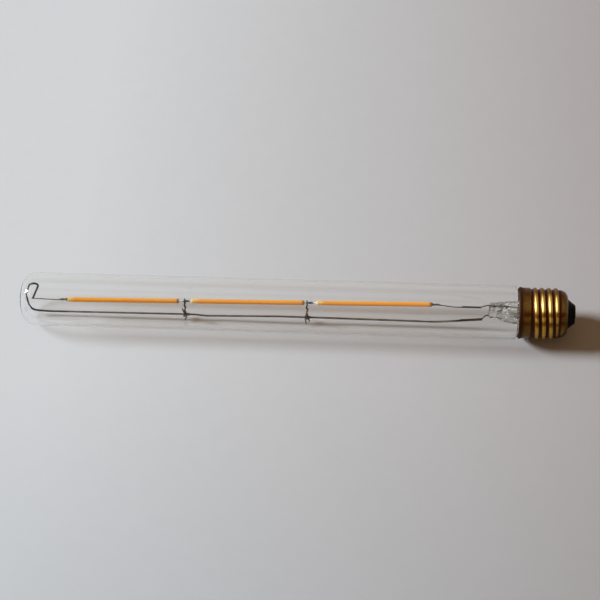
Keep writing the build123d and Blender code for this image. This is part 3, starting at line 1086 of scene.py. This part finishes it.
shell_z = maths(shell_tree, "ADD", shell_in["Axis Height"], shell_above)
shell_point = add(
    shell_tree, "ShaderNodeCombineXYZ", {"X": profile_along, "Y": shell_across, "Z": shell_z}
)
shell_marked = marked(shell_tree, shell_grid, "crest", thread_crest)
shell_rolled = add(
    shell_tree, "GeometryNodeSetPosition", {"Geometry": shell_marked, "Position": shell_point}
)
shell_seamed = add(
    shell_tree, "GeometryNodeMergeByDistance", {"Geometry": shell_rolled, "Distance": seam_gap}
)
shell_smooth = add(shell_tree, "GeometryNodeSetShadeSmooth", {"Geometry": shell_seamed})
close_tree(shell_tree, shell_smooth, shell_in["Finish"], shell_end)


def banded(tree, value, stops):
    """Colours along a value from 0 to 1; each stop is its place and its colour."""
    ramp = add_node(tree, "ShaderNodeValToRGB", {"Fac": value})
    elements = ramp.color_ramp.elements
    for k, (place, colour) in enumerate(stops):
        if k > 1:
            elements.new(place)
        elements[k].position = place
        elements[k].color = (*colour, 1.0)
    return ramp.outputs[0]


# Plain olive brass for the crests, and the colours of their painted highlight, glint and dark reflections.
crest_olive = (0.52, 0.31, 0.048)
crest_painted_dark = (0.2, 0.09, 0.016)
crest_painted_glint = (0.54, 0.34, 0.07)
crest_painted_highlight = (0.64, 0.43, 0.12)
groove_brown = (0.06, 0.015, 0.006)
rim_brown = (0.05, 0.023, 0.013)
# Degrees round the cap from the front, with the crest colour there: plain olive brass, and the painted
# highlight, painted glint and painted dark reflections.
crest_painted_bands = (
    (-180, crest_olive),
    (18, crest_olive),
    (25, crest_painted_dark),
    (30, crest_painted_dark),
    (35, crest_painted_glint),
    (41, crest_painted_glint),
    (46, crest_painted_dark),
    (51, crest_painted_dark),
    (58, crest_painted_highlight),
    (90, crest_painted_highlight),
    (106, crest_painted_dark),
    (180, crest_olive),
)
# Ragged edges of the painted bands, and the faint share of them painted on the rest of the shell.
band_stray = radians(16)
sheen_elsewhere = 0.12
thread_fade = 0.6
rim_grime = 0.75
rim_grime_start = 2.6
rim_grime_full = 0.8
rim_grime_stray = 1.6
rim_start = 1.5
rim_full = 1.1
crest_roughness = 0.16
grime_roughness = 0.3
rim_roughness = 0.2

aged_brass, tree, shader = new_finish("aged_brass")
brass_dulled = use_effect(
    tree,
    dulled_metal,
    {
        "Bright": (0.145, 0.066, 0.014),
        "Dull": (0.05, 0.018, 0.005),
        "Smooth": 0.22,
        "Rough": 0.34,
        "Patches": 170.0,
        "Grain": 1800.0,
    },
)
on_crest = add_node(tree, "ShaderNodeAttribute", {}, attribute_name="crest").outputs["Fac"]
# The tops of the crests, which take the painted bands and are a little rougher.
crest_top = ramped(tree, on_crest, start=0.5, end=0.9)
brass_axes = own_axes(tree)
brass_along = brass_axes["X"]
brass_above = maths(tree, "SUBTRACT", brass_axes["Z"], axis_z)
brass_turn = maths(tree, "ARCTAN2", brass_above, maths(tree, "MULTIPLY", brass_axes["Y"], -1.0))
uneven = grained(tree, scale=260.0, detail=2.0)
strayed_turn = maths(tree, "MULTIPLY_ADD", uneven, band_stray, brass_turn)
turn_share = maths(tree, "MULTIPLY_ADD", strayed_turn, 1 / tau, 0.5 - band_stray / 2 / tau)
# Painted highlight and painted dark reflections in bands round the cap, by angle from the front.
crest_painted_sheen = banded(tree, turn_share, [(0.5 + turn / 360, colour) for turn, colour in crest_painted_bands])


def shell_x(along):
    """Place so many mm from the rim."""
    return shell_low.x + along * mm


past_start = ramped(
    tree, brass_along, shell_x(thread_start), shell_x(thread_start + thread_fade), kind="LINEAR"
)
before_end = ramped(
    tree, brass_along, shell_x(thread_end + thread_fade), shell_x(thread_end), kind="LINEAR"
)
in_thread = maths(tree, "MULTIPLY", past_start, before_end)
in_groove = maths(tree, "MULTIPLY", in_thread, ramped(tree, on_crest, start=0.62, end=0.25))
strayed_along = maths(tree, "MULTIPLY_ADD", uneven, -rim_grime_stray * mm, brass_along)
by_rim = ramped(tree, strayed_along, shell_x(rim_grime_start), shell_x(rim_grime_full), high=rim_grime)
grimy = maths(tree, "MAXIMUM", in_groove, by_rim)
on_rim = ramped(tree, brass_along, shell_x(rim_start), shell_x(rim_full), kind="LINEAR")
# The dull brass takes a faint share of the painted bands; the crest tops take them in full.
dulled_with_sheen = blended(tree, sheen_elsewhere, brass_dulled["Color"], crest_painted_sheen)
tarnished = blended(tree, grimy, dulled_with_sheen, groove_brown)
brass_colour = blended(tree, crest_top, tarnished, crest_painted_sheen)
worn_rough = maths(tree, "MULTIPLY_ADD", crest_top, crest_roughness, brass_dulled["Roughness"])
matt_rough = maths(tree, "MULTIPLY_ADD", grimy, grime_roughness, worn_rough)
feed(
    tree,
    shader,
    {
        "Base Color": blended(tree, on_rim, brass_colour, rim_brown),
        "Metallic": 1.0,
        "Roughness": maths(tree, "MULTIPLY_ADD", on_rim, rim_roughness, matt_rough),
        "Normal": bumped(tree, brass_dulled["Height"], strength=0.12, distance=grain_height),
    },
)

profile_curve = bpy.data.curves.new("shell_profile", "CURVE")
profile_curve.dimensions = "3D"
profile_spline = profile_curve.splines.new("POLY")
profile_spline.points.add(len(shell_profile) - 1)
for point, (along, radius) in zip(profile_spline.points, shell_profile):
    point.co = (shell_x(along), 0.0, radius * mm, 1.0)
shell = made_by(
    shell_tree,
    "cap_shell_rolled",
    profile_curve,
    {
        "Rings": shell_rings,
        "Around": shell_around + 1,
        "Axis Height": axis_z,
        "Pitch": thread_pitch * mm,
        "Depth": groove_depth * mm,
        "First Crest": shell_x(first_crest),
        "Crest Side": crest_side,
        "Thread Start": shell_x(thread_start),
        "Run In": thread_run_in * mm,
        "Thread End": shell_x(thread_end),
        "Run Out": thread_run_out * mm,
        "Finish": aged_brass,
    },
)
wall = shell.modifiers.new("sheet", "SOLIDIFY")
wall.thickness = sheet * mm
wall.offset = -1.0
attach(shell, "root")
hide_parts("cap_shell")

# Insulator
# Black glass, cast hot into the mouth of the shell, where it locks under the lip. It tapers to the
# centre contact and keeps a smooth fire-polished face.
insulator_low, insulator_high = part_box("cap_insulator")
insulator_in = (insulator_low.x - tip_x) / mm
insulator_end = (insulator_high.x - tip_x) / mm
lip_along = (shell_high.x - tip_x) / mm
insulator_sides = 96
insulator_sharp = 60
pin_hole = 1.55
insulator_outline = [
    (insulator_in, pin_hole),
    (insulator_in, 6.9),
    (insulator_in + 0.3, 7.3),
    (insulator_in + 0.8, 7.3),
    (lip_along - 0.1, 7.5),
    (lip_along + 0.05, 7.9),
    (lip_along + 0.2, 8.08),
    (lip_along + 0.45, 8.0),
    (lip_along + 0.9, 7.6),
    (lip_along + 2.2, 6.45),
    (insulator_end - 0.55, 5.38),
    (insulator_end - 0.2, 5.15),
    (insulator_end - 0.04, 4.95),
    (insulator_end, 4.7),
    (insulator_end - 0.02, pin_hole),
]
black_glass = new_moulding(
    "black_glass",
    relief=0.12,
    Light=(0.006, 0.006, 0.0065),
    Dark=(0.002, 0.002, 0.0022),
    Scale=600.0,
    Smooth=0.2,
    Rough=0.4,
)
black_glass.node_tree.nodes["Principled BSDF"].inputs["Specular IOR Level"].default_value = 0.035
insulator = skinned(
    "cap_insulator_cast",
    black_glass,
    [turned(along, radius, insulator_sides) for along, radius in insulator_outline],
    looped=True,
    sharp=insulator_sharp,
)
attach(insulator, "root")
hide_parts("cap_insulator")

# Centre contact
# A flat brass head, tinned with solder and worn by the holder's spring, on a pin that goes through the
# insulator to the driver inside.
pin_low, pin_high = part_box("contact_pin")
pin_start = (pin_low.x - tip_x) / mm
pin_end = (pin_high.x - tip_x) / mm
pin_radius = 1.5
contact_sides = 72
contact_sharp = 40
contact_outline = [
    (pin_start, 0.0),
    (pin_start, 1.2),
    (pin_start + 0.3, pin_radius),
    (insulator_end + 0.02, pin_radius),
    (insulator_end + 0.02, 4.45),
    (insulator_end + 0.1, 4.66),
    (insulator_end + 0.2, 4.68),
    (insulator_end + 0.3, 4.5),
    (pin_end - 0.06, 3.9),
    (pin_end - 0.01, 2.2),
    (pin_end, 0.9),
    (pin_end, 0.0),
]
tinned_brass = new_metal(
    "tinned_brass",
    relief=0.5,
    Bright=(0.62, 0.56, 0.44),
    Dull=(0.38, 0.32, 0.22),
    Smooth=0.25,
    Rough=0.5,
    Patches=420.0,
    Grain=1500.0,
)
contact = skinned(
    "contact_pin_tinned",
    tinned_brass,
    [turned(along, radius, contact_sides) for along, radius in contact_outline],
    sharp=contact_sharp,
)
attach(contact, "root")
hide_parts("contact_pin")

# Table
# A plain pale board that the lamp lies on, matt and with a faint even tooth. Its colour carries a painted
# falloff of the light: a darker, warmer grey towards the cap's end and a darker plain grey towards the
# front.
table_half = 4.0
table_mesh = bpy.data.meshes.new("table")
table_mesh.from_pydata(
    [
        (-table_half, -table_half, 0.0),
        (table_half, -table_half, 0.0),
        (table_half, table_half, 0.0),
        (-table_half, table_half, 0.0),
    ],
    [],
    [(0, 1, 2, 3)],
)
table = show(bpy.data.objects.new("table", table_mesh))
pale_board = new_moulding(
    "pale_board",
    relief=0.05,
    Light=(0.66, 0.725, 0.775),
    Dark=(0.623, 0.682, 0.73),
    Scale=90.0,
    Smooth=0.75,
    Rough=0.95,
)
right_painted_falloff = (0.623, 0.566, 0.543)
front_painted_falloff = (0.83, 0.85, 0.87)
tree = pale_board.node_tree
shader = tree.nodes["Principled BSDF"]
table_axes = own_axes(tree)
# Painted light falloff: darker and warmer towards the cap's end, darker towards the front.
to_right = ramped(tree, table_axes["X"], start=-0.13, end=0.17, kind="LINEAR")
to_front = ramped(tree, table_axes["Y"], start=-0.04, end=-0.2, kind="LINEAR")
even_board = shader.inputs["Base Color"].links[0].from_socket
board_dimmed_right = blended(tree, to_right, even_board, right_painted_falloff, blend_type="MULTIPLY")
board_painted_falloff = blended(tree, to_front, board_dimmed_right, front_painted_falloff, blend_type="MULTIPLY")
feed(tree, shader, {"Base Color": board_painted_falloff})
table.data.materials.append(pale_board)

# Light and camera
# One soft-edged daylight from the dome's end lays the cap's shadow beyond it, in a dim warm room whose
# pale ceiling and wall show only in gloss and through glass. The camera looks down from the front.
daylight = bpy.data.lights.new("daylight", "SUN")
daylight.angle = radians(18)
daylight.energy = 4.6
daylight.color = (0.9, 0.947, 0.986)
daylight_way = Vector((1.6, -0.18, -1.05))
daylight_place = show(bpy.data.objects.new("daylight", daylight))
daylight_place.rotation_euler = daylight_way.to_track_quat("-Z", "Y").to_euler()

room_dim = (0.249, 0.146, 0.077)
room_pale = (1.3, 1.25, 1.15)
# Shares of a half turn up from the front, over the ceiling to the back, with how pale the room is there.
room_bands = (
    (0.0, 0.0),
    (0.07, 0.0),
    (0.09, 0.8),
    (0.16, 0.8),
    (0.19, 0.0),
    (0.31, 0.0),
    (0.36, 1.0),
    (0.74, 0.9),
    (0.78, 0.0),
)
middle_share = 0.3
right_share = 0.4
wall_share = 0.3
world = bpy.data.worlds.new("room")
bpy.context.scene.world = world
world.use_nodes = True
tree = world.node_tree
room_way = add_node(tree, "ShaderNodeTexCoord", {}).outputs["Generated"]
room_axes = add_node(tree, "ShaderNodeSeparateXYZ", {0: room_way}).outputs
room_turn = maths(tree, "ARCTAN2", room_axes["Z"], maths(tree, "MULTIPLY", room_axes["Y"], -1.0))
half_turn = maths(tree, "DIVIDE", room_turn, pi)
overhead = banded(tree, half_turn, [(place, (share, share, share)) for place, share in room_bands])
left_side = ramped(tree, room_axes["X"], start=-0.26, end=-0.42)
right_side = ramped(tree, room_axes["X"], start=0.14, end=0.3, high=right_share)
both_sides = maths(tree, "MAXIMUM", maths(tree, "ADD", left_side, right_side), middle_share)
ceiling = maths(tree, "MULTIPLY", overhead, both_sides)
back_wall = ramped(tree, room_turn, radians(140), radians(165), high=wall_share)
ray = add_node(tree, "ShaderNodeLightPath", {}).outputs
in_gloss = ray["Is Glossy Ray"]
in_glass = maths(tree, "ADD", in_gloss, ray["Is Transmission Ray"])
pale_share = maths(
    tree,
    "MAXIMUM",
    maths(tree, "MULTIPLY", ceiling, in_gloss),
    maths(tree, "MULTIPLY", back_wall, in_glass),
)
room_light = blended(tree, pale_share, room_dim, room_pale)
feed(tree, tree.nodes["Background"], {"Color": room_light, "Strength": 1.0})

camera = bpy.data.cameras.new("camera")
camera_view = radians(20)
camera.sensor_width = 36.0
camera.lens = camera.sensor_width / 2 / tan(camera_view / 2)
camera_turn = radians(8.17)
camera_lift = radians(52)
camera_roll = radians(-4.79)
camera_distance = 0.9
camera_target = Vector((0.00334, 0.0, 0.01975))
level = cos(camera_lift)
camera_back = Vector((sin(camera_turn) * level, -cos(camera_turn) * level, sin(camera_lift)))
camera_place = show(bpy.data.objects.new("camera", camera))
camera_place.location = camera_target + camera_back * camera_distance
camera_place.rotation_mode = "QUATERNION"
camera_place.rotation_quaternion = camera_back.to_track_quat("Z", "Y") @ Quaternion((0, 0, 1), camera_roll)
bpy.context.scene.camera = camera_place
bpy.context.scene.view_settings.view_transform = "Standard"
